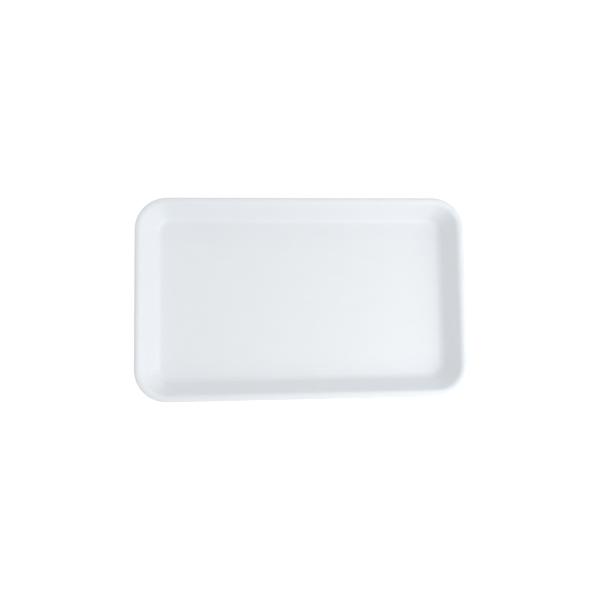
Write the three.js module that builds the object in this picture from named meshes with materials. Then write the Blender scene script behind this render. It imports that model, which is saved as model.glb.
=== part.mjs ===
// A shallow supermarket meat tray, pressed in one piece from a sheet of white polystyrene foam.
// Sizes are in millimetres and +Z is up. The tray rests on its base at z = 0, with the origin under
// the middle of the base, its long side along X and its short side along Y.
import * as THREE from "three";

const trayLength = 222; // over the lip, along X
const trayWidth = 135; // over the lip, along Y
const trayHeight = 18; // from the base to the top of the lip
const sheetThickness = 3; // of the floor and, square to their slope, of the walls
const lipWidth = 4.4; // from the cut edge to where the wall's slope would meet the lip's top
const lipThickness = 2.3; // the press squeezes the lip thinner than the walls
const wallDraft = THREE.MathUtils.degToRad(28); // lean of the walls from upright
const lipCornerRadius = 21.5; // the lip's corners, seen from above
const floorCornerRadius = 9; // the same corners where the walls meet the floor
const floorFillet = 5; // hollow curve from the floor up into the walls
const sideRoll = 2.8; // round back from the wall's slope onto the lip, along the long sides
const endRoll = 4; // the same round at the two ends
const shoulderRadius = 2; // upper round of the cut edge
const trimRadius = 0.3; // lower round of the cut edge
const underLipFillet = 1; // hollow curve under the lip
const cornerSteps = 14; // facets round each corner, seen from above
const foam = { color: 0xe9eef2, roughness: 0.62, metalness: 0 };

// Points along an arc that replaces a sharp corner of an outline. It touches both sides of the
// corner, at a distance of reach from it.
function roundCorner(before, corner, after, reach, steps) {
  const back = before.clone().sub(corner).normalize();
  const ahead = after.clone().sub(corner).normalize();
  const halfAngle = Math.acos(back.dot(ahead)) / 2;
  const radius = reach * Math.tan(halfAngle);
  const middle = back.clone().add(ahead).normalize();
  const centre = corner.clone().addScaledVector(middle, radius / Math.sin(halfAngle));
  const start = corner.clone().addScaledVector(back, reach).sub(centre);
  const end = corner.clone().addScaledVector(ahead, reach).sub(centre);
  const turn = Math.sign(start.cross(end)) * (Math.PI - 2 * halfAngle);
  return Array.from({ length: steps + 1 }, (_, i) =>
    start.clone().rotateAround(new THREE.Vector2(), (turn * i) / steps).add(centre)
  );
}

// The sheet cut square through one wall. x is the distance in from the lip's cut edge and y is the
// height. It runs from the flat floor up the inside, over the lip, down the outside and in to the
// flat base. The outside is the inside moved out by the sheet's thickness. Rounds that would meet
// share the stretch between them in proportion.
function wallSection(roll) {
  const slope = Math.tan(wallDraft);
  const insideAt = (height) => lipWidth + (trayHeight - height) * slope;
  const outsideAt = (height) => insideAt(height) - sheetThickness / Math.cos(wallDraft);
  const underLip = trayHeight - lipThickness;
  const farIn = insideAt(0) + lipCornerRadius;
  const rounds = [
    { x: insideAt(sheetThickness), y: sheetThickness, radius: floorFillet, steps: 8 },
    { x: lipWidth, y: trayHeight, radius: roll, steps: 7 },
    { x: 0, y: trayHeight, radius: shoulderRadius, steps: 7 },
    { x: 0, y: underLip, radius: trimRadius, steps: 2 },
    { x: outsideAt(underLip), y: underLip, radius: underLipFillet, steps: 3 },
    { x: outsideAt(0), y: 0, radius: floorFillet + sheetThickness, steps: 8 },
  ];
  const outline = [
    new THREE.Vector2(farIn, sheetThickness),
    ...rounds.map(({ x, y }) => new THREE.Vector2(x, y)),
    new THREE.Vector2(farIn, 0),
  ];
  const wanted = rounds.map(({ radius }, i) => {
    const back = outline[i].clone().sub(outline[i + 1]);
    const ahead = outline[i + 2].clone().sub(outline[i + 1]);
    return radius / Math.tan(back.angleTo(ahead) / 2);
  });
  const room = outline.slice(1).map((point, i) => {
    const needed = (wanted[i - 1] ?? 0) + (wanted[i] ?? 0);
    return Math.min(1, point.distanceTo(outline[i]) / needed);
  });
  return rounds.flatMap(({ steps }, i) => {
    const reach = wanted[i] * Math.min(room[i], room[i + 1]);
    return roundCorner(outline[i], outline[i + 1], outline[i + 2], reach, steps);
  });
}

// One level line of the tray, seen from above: a rectangle with round corners, set in from the
// lip's cut edge. The corners tighten from the lip's radius to the floor's as the walls run in.
function levelLine(side, end) {
  const floorInset = lipWidth + (trayHeight - sheetThickness) * Math.tan(wallDraft);
  const tighten = (lipCornerRadius - floorCornerRadius) / floorInset;
  const radius = Math.max(lipCornerRadius - side.x * tighten, trimRadius);
  const centreX = trayLength / 2 - end.x - radius;
  const centreY = trayWidth / 2 - side.x - radius;
  const points = [];
  for (let corner = 0; corner < 4; corner++) {
    const signX = corner === 0 || corner === 3 ? 1 : -1;
    const signY = corner < 2 ? 1 : -1;
    for (let i = 0; i <= cornerSteps; i++) {
      const angle = ((corner + i / cornerSteps) * Math.PI) / 2;
      points.push(
        new THREE.Vector3(
          signX * centreX + radius * Math.cos(angle),
          signY * centreY + radius * Math.sin(angle),
          THREE.MathUtils.lerp(end.y, side.y, Math.sin(angle) ** 2)
        )
      );
    }
  }
  return points;
}

// Skins a stack of closed level lines into one solid. The first line is filled to make the floor,
// and the last one to make the base.
function loft(levels) {
  const round = levels[0].length;
  const faces = [];
  for (let i = 0; i + 1 < levels.length; i++) {
    for (let j = 0; j < round; j++) {
      const a = i * round + j;
      const b = i * round + ((j + 1) % round);
      faces.push(a, b + round, b, a, a + round, b + round);
    }
  }
  const fill = (level) => {
    const flat = levels.at(level).map(({ x, y }) => new THREE.Vector2(x, y));
    return THREE.ShapeUtils.triangulateShape(flat, []);
  };
  faces.push(...fill(0).flat());
  const last = (levels.length - 1) * round;
  for (const [a, b, c] of fill(-1)) {
    faces.push(last + a, last + c, last + b);
  }
  const geometry = new THREE.BufferGeometry().setFromPoints(levels.flat());
  geometry.setIndex(faces);
  geometry.computeVertexNormals();
  return geometry;
}

function tray() {
  const side = wallSection(sideRoll);
  const end = wallSection(endRoll);
  const levels = side.map((point, i) => levelLine(point, end[i]));
  const mesh = new THREE.Mesh(loft(levels), new THREE.MeshStandardMaterial(foam));
  mesh.name = "tray";
  return mesh;
}

const model = new THREE.Group();
model.add(tray());

export default model;
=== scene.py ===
import math

import bmesh
import bpy
import numpy as np
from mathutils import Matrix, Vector


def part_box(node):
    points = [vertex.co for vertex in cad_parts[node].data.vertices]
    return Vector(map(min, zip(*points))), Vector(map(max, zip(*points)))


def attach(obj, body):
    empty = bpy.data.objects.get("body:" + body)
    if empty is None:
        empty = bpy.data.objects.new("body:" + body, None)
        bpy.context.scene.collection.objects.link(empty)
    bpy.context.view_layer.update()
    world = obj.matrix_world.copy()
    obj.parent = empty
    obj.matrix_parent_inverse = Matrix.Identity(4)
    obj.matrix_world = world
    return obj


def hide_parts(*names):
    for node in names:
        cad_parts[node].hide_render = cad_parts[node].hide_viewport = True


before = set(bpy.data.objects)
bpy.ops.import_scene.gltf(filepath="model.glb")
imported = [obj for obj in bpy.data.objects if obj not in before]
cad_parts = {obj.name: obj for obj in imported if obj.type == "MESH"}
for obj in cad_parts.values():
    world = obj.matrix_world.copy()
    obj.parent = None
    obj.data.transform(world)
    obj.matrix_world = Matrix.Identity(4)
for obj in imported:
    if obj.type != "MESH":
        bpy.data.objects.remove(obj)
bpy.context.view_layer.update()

mm = 0.001


# The camera: nearly overhead, a little to the left and near side of the tray's middle
photoCamera = {
    "lens": 30.0,
    "sensor": 36.0,
    "place": (-0.0235, -0.02083, 0.34926),
    "turn": (3.34, -3.599, -0.798),  # degrees, X then Y then Z
}


def makeCamera(values):
    data = bpy.data.cameras.new("photoCamera")
    data.lens = values["lens"]
    data.sensor_width = values["sensor"]
    camera = bpy.data.objects.new("photoCamera", data)
    camera.location = values["place"]
    camera.rotation_euler = [math.radians(angle) for angle in values["turn"]]
    bpy.context.scene.collection.objects.link(camera)
    bpy.context.scene.camera = camera


def addNode(tree, kind, **settings):
    # A node with its properties set
    node = tree.nodes.new(kind)
    for name, value in settings.items():
        setattr(node, name, value)
    return node


# A Mix node's own numbers for A, B and Result, by the kind of value that it mixes
mixSockets = {"FLOAT": (2, 3, 0), "VECTOR": (4, 5, 1), "RGBA": (6, 7, 2)}

# The foam's pattern. Its scales multiply places in millimetres.
foamPattern = {
    "cellBlend": 0.6,
    "cloudScale": 0.07,
    "cloudDetail": 4.0,
    "streakScale": (0.03, 0.55, 0.55),  # long along X, the way the sheet was drawn
    "streakDetail": 3.0,
    "streakShare": 0.45,
}


# The foam's surface: cells under a pressed skin, cloudy thick and thin patches, and faint streaks
# along the way the sheet was drawn. It gives a colour, a roughness and a normal.
def makeFoamGroup(pattern):
    group = bpy.data.node_groups.new("foamSurface", "ShaderNodeTree")
    side = group.interface
    wanted = [
        ("Light Tone", "NodeSocketColor", (0.85, 0.88, 0.91, 1)),
        ("Deep Tone", "NodeSocketColor", (0.8, 0.83, 0.86, 1)),
        ("Cell Width", "NodeSocketFloat", 0.9),  # millimetres
        ("Cell Share", "NodeSocketFloat", 0.5),
        ("Smooth", "NodeSocketFloat", 0.4),
        ("Rough", "NodeSocketFloat", 0.6),
        ("Relief", "NodeSocketFloat", 0.02),  # millimetres
    ]
    for name, kind, value in wanted:
        side.new_socket(name, in_out="INPUT", socket_type=kind).default_value = value
    side.new_socket("Color", in_out="OUTPUT", socket_type="NodeSocketColor")
    side.new_socket("Roughness", in_out="OUTPUT", socket_type="NodeSocketFloat")
    side.new_socket("Normal", in_out="OUTPUT", socket_type="NodeSocketVector")
    link = group.links.new
    given = addNode(group, "NodeGroupInput")
    out = addNode(group, "NodeGroupOutput")
    place = addNode(group, "ShaderNodeTexCoord")
    inMillimetres = addNode(group, "ShaderNodeVectorMath", operation="SCALE")
    inMillimetres.inputs["Scale"].default_value = 1 / mm
    link(place.outputs["Object"], inMillimetres.inputs[0])

    perWidth = addNode(group, "ShaderNodeMath", operation="DIVIDE")
    perWidth.inputs[0].default_value = 1.0
    link(given.outputs["Cell Width"], perWidth.inputs[1])
    cells = addNode(group, "ShaderNodeTexVoronoi", feature="SMOOTH_F1")
    cells.inputs["Smoothness"].default_value = pattern["cellBlend"]
    link(inMillimetres.outputs[0], cells.inputs["Vector"])
    link(perWidth.outputs[0], cells.inputs["Scale"])

    clouds = addNode(group, "ShaderNodeTexNoise")
    clouds.inputs["Scale"].default_value = pattern["cloudScale"]
    clouds.inputs["Detail"].default_value = pattern["cloudDetail"]
    link(inMillimetres.outputs[0], clouds.inputs["Vector"])

    drawn = addNode(group, "ShaderNodeVectorMath", operation="MULTIPLY")
    drawn.inputs[1].default_value = pattern["streakScale"]
    link(inMillimetres.outputs[0], drawn.inputs[0])
    streaks = addNode(group, "ShaderNodeTexNoise")
    streaks.inputs["Scale"].default_value = 1.0
    streaks.inputs["Detail"].default_value = pattern["streakDetail"]
    link(drawn.outputs[0], streaks.inputs["Vector"])

    # The tone: clouds and streaks, mixed with the cells by their share
    slow = addNode(group, "ShaderNodeMix", data_type="FLOAT")
    slow.inputs["Factor"].default_value = pattern["streakShare"]
    link(clouds.outputs["Fac"], slow.inputs["A"])
    link(streaks.outputs["Fac"], slow.inputs["B"])
    tone = addNode(group, "ShaderNodeMix", data_type="FLOAT")
    link(given.outputs["Cell Share"], tone.inputs["Factor"])
    link(slow.outputs["Result"], tone.inputs["A"])
    link(cells.outputs["Distance"], tone.inputs["B"])
    colour = addNode(group, "ShaderNodeMix", data_type="RGBA")
    first, second, result = mixSockets["RGBA"]
    link(tone.outputs["Result"], colour.inputs["Factor"])
    link(given.outputs["Light Tone"], colour.inputs[first])
    link(given.outputs["Deep Tone"], colour.inputs[second])
    link(colour.outputs[result], out.inputs["Color"])

    sheen = addNode(group, "ShaderNodeMix", data_type="FLOAT")
    link(tone.outputs["Result"], sheen.inputs["Factor"])
    link(given.outputs["Smooth"], sheen.inputs["A"])
    link(given.outputs["Rough"], sheen.inputs["B"])
    link(sheen.outputs["Result"], out.inputs["Roughness"])

    height = addNode(group, "ShaderNodeMath", operation="MULTIPLY")
    link(tone.outputs["Result"], height.inputs[0])
    link(given.outputs["Relief"], height.inputs[1])
    bump = addNode(group, "ShaderNodeBump", invert=True)
    bump.inputs["Distance"].default_value = mm
    link(height.outputs[0], bump.inputs["Height"])
    link(bump.outputs["Normal"], out.inputs["Normal"])
    return group


foamFinish = {
    "skin": {"Light Tone": (0.862, 0.883, 0.902, 1), "Deep Tone": (0.803, 0.827, 0.85, 1),
             "Cell Width": 0.9, "Cell Share": 0.35, "Smooth": 0.42, "Rough": 0.62, "Relief": 0.05},
    "cut": {"Light Tone": (0.88, 0.9, 0.92, 1), "Deep Tone": (0.74, 0.77, 0.8, 1),
            "Cell Width": 0.45, "Cell Share": 0.85, "Smooth": 0.7, "Rough": 0.9, "Relief": 0.12},
    "glow": 0.12,  # light that enters the foam and comes out nearby
    "glowDepth": 1.5 * mm,
    "ior": 1.45,
}


def makeFoam(values, group):
    material = bpy.data.materials.new("pressedFoam")
    material.use_nodes = True
    tree = material.node_tree
    shader = tree.nodes["Principled BSDF"]
    shader.inputs["IOR"].default_value = values["ior"]
    shader.inputs["Subsurface Weight"].default_value = values["glow"]
    shader.inputs["Subsurface Radius"].default_value = (1.0, 1.0, 1.0)
    shader.inputs["Subsurface Scale"].default_value = values["glowDepth"]
    surfaces = []
    for name in ("skin", "cut"):
        surface = addNode(tree, "ShaderNodeGroup", node_tree=group, label=name)
        for socket, value in values[name].items():
            surface.inputs[socket].default_value = value
        surfaces.append(surface)
    skin, cut = surfaces
    edge = addNode(tree, "ShaderNodeAttribute", attribute_name="cutEdge")
    for socket, kind, into in (
        ("Color", "RGBA", "Base Color"),
        ("Roughness", "FLOAT", "Roughness"),
        ("Normal", "VECTOR", "Normal"),
    ):
        first, second, result = mixSockets[kind]
        mix = addNode(tree, "ShaderNodeMix", data_type=kind)
        tree.links.new(edge.outputs["Fac"], mix.inputs["Factor"])
        tree.links.new(skin.outputs[socket], mix.inputs[first])
        tree.links.new(cut.outputs[socket], mix.inputs[second])
        tree.links.new(mix.outputs[result], shader.inputs[into])
    return material


# The tray's own sizes, the solid's but for one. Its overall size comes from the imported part.
tray = {
    "sheet": 3.0 * mm,
    "lipWidth": 4.4 * mm,
    "lipThickness": 2.3 * mm,
    "draft": math.radians(28),
    "lipCorner": 21.5 * mm,
    "floorCorner": 9.0 * mm,
    "floorFillet": 5.0 * mm,
    "sideRoll": 2.8 * mm,
    "endRoll": 3.6 * mm,  # a little under the solid's, so that some flat is left on the lip
    "shoulder": 2.0 * mm,
    "trim": 0.3 * mm,
    "underLip": 1.0 * mm,
    "cutDepth": 0.4 * mm,  # how far in from the cut edge the open cells show
    "flatRows": 24,  # rings on the floor, and as many under the base
    "wallRows": 7,
    "edgeRows": 2,  # on the underside of the lip
    "filletSteps": 12,
    "rollSteps": 14,
    "shoulderSteps": 12,
    "trimSteps": 4,
    "underLipSteps": 6,
    "longSteps": 90,
    "shortSteps": 50,
    "cornerSteps": 26,
    "join": 0.02 * mm,  # points nearer than this become one
}


# An arc that replaces a sharp corner of an outline. It touches both sides at the distance of reach
# from the corner. The centre lies on the line that halves the corner, and the points go round it
# in even steps of angle.
def roundCorner(before, corner, after, reach, steps):
    back = (before - corner) / np.linalg.norm(before - corner)
    ahead = (after - corner) / np.linalg.norm(after - corner)
    half = math.acos(back @ ahead) / 2
    radius = reach * math.tan(half)
    middle = (back + ahead) / np.linalg.norm(back + ahead)
    centre = corner + middle * radius / math.sin(half)
    start, end = corner + back * reach - centre, corner + ahead * reach - centre
    first = math.atan2(start[1], start[0])
    sweep = math.remainder(math.atan2(end[1], end[0]) - first, 2 * math.pi)
    angles = first + sweep * np.linspace(0, 1, steps + 1)
    return centre + radius * np.stack([np.cos(angles), np.sin(angles)], axis=1)


# The sheet cut through one wall, as rows of (distance in from the cut edge, height): up the inside
# from the floor, over the lip, down the outside and in to the base. Rounds that would meet share
# the stretch between them, and what is left of a stretch gets even rows of its own. The second
# result is 1 on the cut edge and falls to 0 at the cut's depth.
def wallSection(values, height, roll):
    def inside(level):
        return values["lipWidth"] + (height - level) * math.tan(values["draft"])

    def outside(level):
        return inside(level) - values["sheet"] / math.cos(values["draft"])

    under = height - values["lipThickness"]
    farIn = inside(0) + values["lipCorner"]
    corners = np.array([
        (farIn, values["sheet"]), (inside(values["sheet"]), values["sheet"]),
        (values["lipWidth"], height), (0, height), (0, under), (outside(under), under),
        (outside(0), 0), (farIn, 0),
    ])
    rounds = [  # radius, steps round it, rows on the next stretch
        (values["floorFillet"], values["filletSteps"], values["wallRows"]),
        (roll, values["rollSteps"], 0),
        (values["shoulder"], values["shoulderSteps"], 0),
        (values["trim"], values["trimSteps"], values["edgeRows"]),
        (values["underLip"], values["underLipSteps"], values["wallRows"]),
        (values["floorFillet"] + values["sheet"], values["filletSteps"], 0),
    ]
    stretch = corners[1:] - corners[:-1]
    spans = np.linalg.norm(stretch, axis=1)
    ways = stretch / spans[:, None]
    halves = np.arccos(-(ways[:-1] * ways[1:]).sum(axis=1)) / 2
    wanted = np.array([radius for radius, *rest in rounds]) / np.tan(halves)
    room = np.minimum(1, spans / (np.append(0, wanted) + np.append(wanted, 0)))
    reach = wanted * np.minimum(room[:-1], room[1:])
    arcs = [roundCorner(*corners[i:i + 3], reach[i], rounds[i][1]) for i in range(len(rounds))]
    rows = []
    for i, (radius, steps, gaps) in enumerate(rounds):
        rows.append(arcs[i])
        if gaps:
            share = (np.arange(gaps) + 1)[:, None] / (gaps + 1)
            rows.append(arcs[i][-1] + (arcs[i + 1][0] - arcs[i][-1]) * share)
    rows = np.concatenate(rows)
    return rows, np.clip(1 - rows[:, 0] / values["cutDepth"], 0, 1)


# One turn round a rectangle with round corners, anticlockwise. Each column has the corner centre
# that it hangs on, as a share from -1 to 1 along X and Y, and the direction that it points in.
def turnRound(values):
    longWay = np.linspace(-1, 1, values["longSteps"], endpoint=False)
    shortWay = np.linspace(-1, 1, values["shortSteps"], endpoint=False)
    quarter = np.linspace(0, math.pi / 2, values["cornerSteps"], endpoint=False)
    acrossX, acrossY, angle = [], [], []
    for side, (x, y) in enumerate(((1, 1), (-1, 1), (-1, -1), (1, -1))):
        along = longWay if side % 2 else shortWay
        facing = side * math.pi / 2
        straightX, straightY = [
            (x + 0 * along, along * y), (-along, y + 0 * along),
            (x + 0 * along, along * y), (along, y + 0 * along),
        ][side]
        acrossX += [straightX, x + 0 * quarter]
        acrossY += [straightY, y + 0 * quarter]
        angle += [facing + 0 * along, facing + quarter]
    return [np.concatenate(part) for part in (acrossX, acrossY, angle)]


# The whole sheet as one closed surface. A row is one level line and a column runs over the section.
# x = sx * cx + r * cos(a) and y = sy * cy + r * sin(a), where (cx, cy) is the row's corner centre,
# r its corner radius and a the column's direction. The height goes from the end wall's to the side
# wall's by the square of sin(a). On the floor and the base the rings shrink to a line in the middle.
def makeTray(values, box):
    low, high = box
    length, width, height = high - low
    side, edge = wallSection(values, height, values["sideRoll"])
    end, _ = wallSection(values, height, values["endRoll"])
    floorInset = values["lipWidth"] + (height - values["sheet"]) * math.tan(values["draft"])
    tighten = (values["lipCorner"] - values["floorCorner"]) / floorInset
    radius = np.maximum(values["lipCorner"] - side[:, 0] * tighten, values["trim"])
    shrink = np.linspace(0, 1, values["flatRows"] + 1)[1:]

    def flatRings(row):
        run = (width / 2 - side[row, 0]) * shrink
        ringSide = np.stack([side[row, 0] + run, side[row, 1] + 0 * run], axis=1)
        ringEnd = np.stack([end[row, 0] + run, end[row, 1] + 0 * run], axis=1)
        return ringSide, ringEnd, radius[row] * (1 - shrink)

    floorSide, floorEnd, floorRadius = flatRings(0)
    baseSide, baseEnd, baseRadius = flatRings(-1)
    side = np.concatenate([floorSide[::-1], side, baseSide])
    end = np.concatenate([floorEnd[::-1], end, baseEnd])
    radius = np.concatenate([floorRadius[::-1], radius, baseRadius])[:, None]
    edge = np.concatenate([0 * floorRadius, edge, 0 * baseRadius])

    acrossX, acrossY, angle = turnRound(values)
    centreX = length / 2 - end[:, :1] - radius
    centreY = width / 2 - side[:, :1] - radius
    x = acrossX * centreX + radius * np.cos(angle)
    y = acrossY * centreY + radius * np.sin(angle)
    toSide = np.sin(angle) ** 2
    z = end[:, 1:] * (1 - toSide) + side[:, 1:] * toSide
    points = np.stack([x, y, low[2] + z], axis=2)
    rows, columns = x.shape

    first = np.arange(rows - 1)[:, None] * columns
    here = np.arange(columns)[None, :]
    ahead = (here + 1) % columns
    inner = first + columns
    faces = np.stack([first + here, inner + here, inner + ahead, first + ahead], axis=2)
    mesh = bpy.data.meshes.new("foamTray")
    mesh.from_pydata(points.reshape(-1, 3), [], faces.reshape(-1, 4).tolist())
    mark = mesh.attributes.new("cutEdge", "FLOAT", "POINT")
    mark.data.foreach_set("value", np.repeat(edge, columns).astype(np.float32))
    return mesh


# Closes the two middle lines, joins rows of the lip that meet, and turns every face outwards
def closeMesh(mesh, distance):
    work = bmesh.new()
    work.from_mesh(mesh)
    bmesh.ops.remove_doubles(work, verts=work.verts, dist=distance)
    bmesh.ops.recalc_face_normals(work, faces=work.faces)
    work.to_mesh(mesh)
    work.free()
    mesh.shade_smooth()


# The sheet is never quite flat: long shallow waves, only ever inwards from the true surface, so
# the tray keeps its size. Each wave is a sine over the place along its own direction.
waves = {"seed": 7, "count": 14, "shortest": 14 * mm, "longest": 60 * mm, "depth": 0.06 * mm}


def addWaves(mesh, values, box):
    draw = np.random.default_rng(values["seed"])
    count = len(mesh.vertices)
    place, normal = np.empty(count * 3), np.empty(count * 3)
    mesh.vertices.foreach_get("co", place)
    mesh.vertices.foreach_get("normal", normal)
    place, normal = place.reshape(-1, 3), normal.reshape(-1, 3)
    way = draw.normal(size=(3, values["count"]))
    way /= np.linalg.norm(way, axis=0)
    span = draw.uniform(values["shortest"], values["longest"], values["count"])
    phase = draw.uniform(0, 2 * math.pi, values["count"])
    sums = np.sin(place @ (way * 2 * math.pi / span) + phase).sum(axis=1)
    share = 0.5 + 0.5 * sums / np.abs(sums).max()
    place = np.clip(place - normal * (values["depth"] * share)[:, None], *box)
    mesh.vertices.foreach_set("co", place.ravel())
    mesh.update()


# The ground: white to the camera, with the tray's soft shadow kept, and pale to every other ray. It
# is clear from below, and to rays that start within touch of it, so that the tray's underside is
# lit when it is looked at.
ground = {
    "half": 2.0,
    "colour": (0.9, 0.91, 0.92, 1),
    "shown": 0.82,  # brightness to the camera without the light that falls on it
    "shade": 0.28,  # how strongly the light and the tray's shadow show on top
    "touch": 1.0 * mm,
}


def seenRays(tree):
    # 1 for rays that reach the camera straight, by a reflection or through glass
    path = addNode(tree, "ShaderNodeLightPath")
    either = addNode(tree, "ShaderNodeMath", operation="MAXIMUM")
    every = addNode(tree, "ShaderNodeMath", operation="MAXIMUM")
    tree.links.new(path.outputs["Is Camera Ray"], either.inputs[0])
    tree.links.new(path.outputs["Is Glossy Ray"], either.inputs[1])
    tree.links.new(either.outputs[0], every.inputs[0])
    tree.links.new(path.outputs["Is Transmission Ray"], every.inputs[1])
    return every.outputs[0]


def makeGround(values):
    reach = values["half"]
    corners = [(-reach, -reach, 0), (reach, -reach, 0), (reach, reach, 0), (-reach, reach, 0)]
    mesh = bpy.data.meshes.new("ground")
    mesh.from_pydata(corners, [], [(0, 1, 2, 3)])
    plane = bpy.data.objects.new("ground", mesh)
    bpy.context.scene.collection.objects.link(plane)
    material = bpy.data.materials.new("paleGround")
    material.use_nodes = True
    tree = material.node_tree
    tree.nodes.clear()
    plain = addNode(tree, "ShaderNodeBsdfDiffuse")
    plain.inputs["Color"].default_value = values["colour"]
    white = addNode(tree, "ShaderNodeEmission")
    white.inputs["Strength"].default_value = values["shown"]
    shade = addNode(tree, "ShaderNodeBsdfDiffuse")
    shade.inputs["Color"].default_value = (values["shade"],) * 3 + (1,)
    both = addNode(tree, "ShaderNodeAddShader")
    choose = addNode(tree, "ShaderNodeMixShader")
    facing = addNode(tree, "ShaderNodeNewGeometry")
    clear = addNode(tree, "ShaderNodeBsdfTransparent")
    path = addNode(tree, "ShaderNodeLightPath")
    touching = addNode(tree, "ShaderNodeMath", operation="LESS_THAN")
    touching.inputs[1].default_value = values["touch"]
    hidden = addNode(tree, "ShaderNodeMath", operation="MAXIMUM")
    fromBelow = addNode(tree, "ShaderNodeMixShader")
    out = addNode(tree, "ShaderNodeOutputMaterial")
    tree.links.new(white.outputs[0], both.inputs[0])
    tree.links.new(shade.outputs[0], both.inputs[1])
    tree.links.new(seenRays(tree), choose.inputs[0])
    tree.links.new(plain.outputs[0], choose.inputs[1])
    tree.links.new(both.outputs[0], choose.inputs[2])
    tree.links.new(path.outputs["Ray Length"], touching.inputs[0])
    tree.links.new(facing.outputs["Backfacing"], hidden.inputs[0])
    tree.links.new(touching.outputs[0], hidden.inputs[1])
    tree.links.new(hidden.outputs[0], fromBelow.inputs[0])
    tree.links.new(choose.outputs[0], fromBelow.inputs[1])
    tree.links.new(clear.outputs[0], fromBelow.inputs[2])
    tree.links.new(fromBelow.outputs[0], out.inputs["Surface"])
    mesh.materials.append(material)


# The light: an even white sky, and soft round lamps that face the tray. The strongest stands low
# on the right, a little towards the near side, and the others fill in around it.
light = {
    "sky": 0.679,
    "skyColour": (0.97, 0.985, 1.0, 1),
    "lampColour": (1.0, 1.0, 1.0),
    "lamps": [  # degrees round from +X, degrees up, metres away, metres across, watts
        (-30, 30, 0.7, 0.35, 0.732),
        (-30, 55, 0.7, 0.35, 0.384),
        (0, 55, 0.7, 0.35, 0.325),
        (90, 30, 0.7, 0.35, 0.286),
        (-90, 30, 0.7, 0.35, 0.168),
        (-37, 45, 0.425, 0.15, 0.182),
    ],
}


def makeSky(values):
    world = bpy.data.worlds.new("whiteRoom")
    world.use_nodes = True
    bpy.context.scene.world = world
    tree = world.node_tree
    tree.nodes.clear()
    sky = addNode(tree, "ShaderNodeBackground")
    sky.inputs["Color"].default_value = values["skyColour"]
    sky.inputs["Strength"].default_value = values["sky"]
    white = addNode(tree, "ShaderNodeBackground")
    white.inputs["Color"].default_value = (1, 1, 1, 1)
    white.inputs["Strength"].default_value = 1.0
    choose = addNode(tree, "ShaderNodeMixShader")
    out = addNode(tree, "ShaderNodeOutputWorld")
    tree.links.new(seenRays(tree), choose.inputs[0])
    tree.links.new(sky.outputs[0], choose.inputs[1])
    tree.links.new(white.outputs[0], choose.inputs[2])
    tree.links.new(choose.outputs[0], out.inputs["Surface"])


def makeLamp(values, roundAngle, upAngle, distance, size, power):
    data = bpy.data.lights.new("softLamp", "AREA")
    data.shape = "DISK"
    data.size = size
    data.energy = power
    data.color = values["lampColour"]
    lamp = bpy.data.objects.new("softLamp", data)
    around, up = math.radians(roundAngle), math.radians(upAngle)
    away = Vector((math.cos(around) * math.cos(up), math.sin(around) * math.cos(up), math.sin(up)))
    lamp.location = away * distance
    lamp.rotation_euler = away.to_track_quat("Z", "Y").to_euler()
    bpy.context.scene.collection.objects.link(lamp)


bpy.context.scene.view_settings.view_transform = "Standard"
makeCamera(photoCamera)
makeGround(ground)
makeSky(light)
for lampValues in light["lamps"]:
    makeLamp(light, *lampValues)
print("stage: camera, ground and light are set")

trayBox = [np.array(corner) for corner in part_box("tray")]
trayMesh = makeTray(tray, trayBox)
closeMesh(trayMesh, tray["join"])
addWaves(trayMesh, waves, trayBox)
foamTray = bpy.data.objects.new("foamTray", trayMesh)
bpy.context.scene.collection.objects.link(foamTray)
trayMesh.materials.append(makeFoam(foamFinish, makeFoamGroup(foamPattern)))
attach(foamTray, "root")
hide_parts("tray")
print("tray:", len(trayMesh.vertices), "points,", len(trayMesh.polygons), "faces")
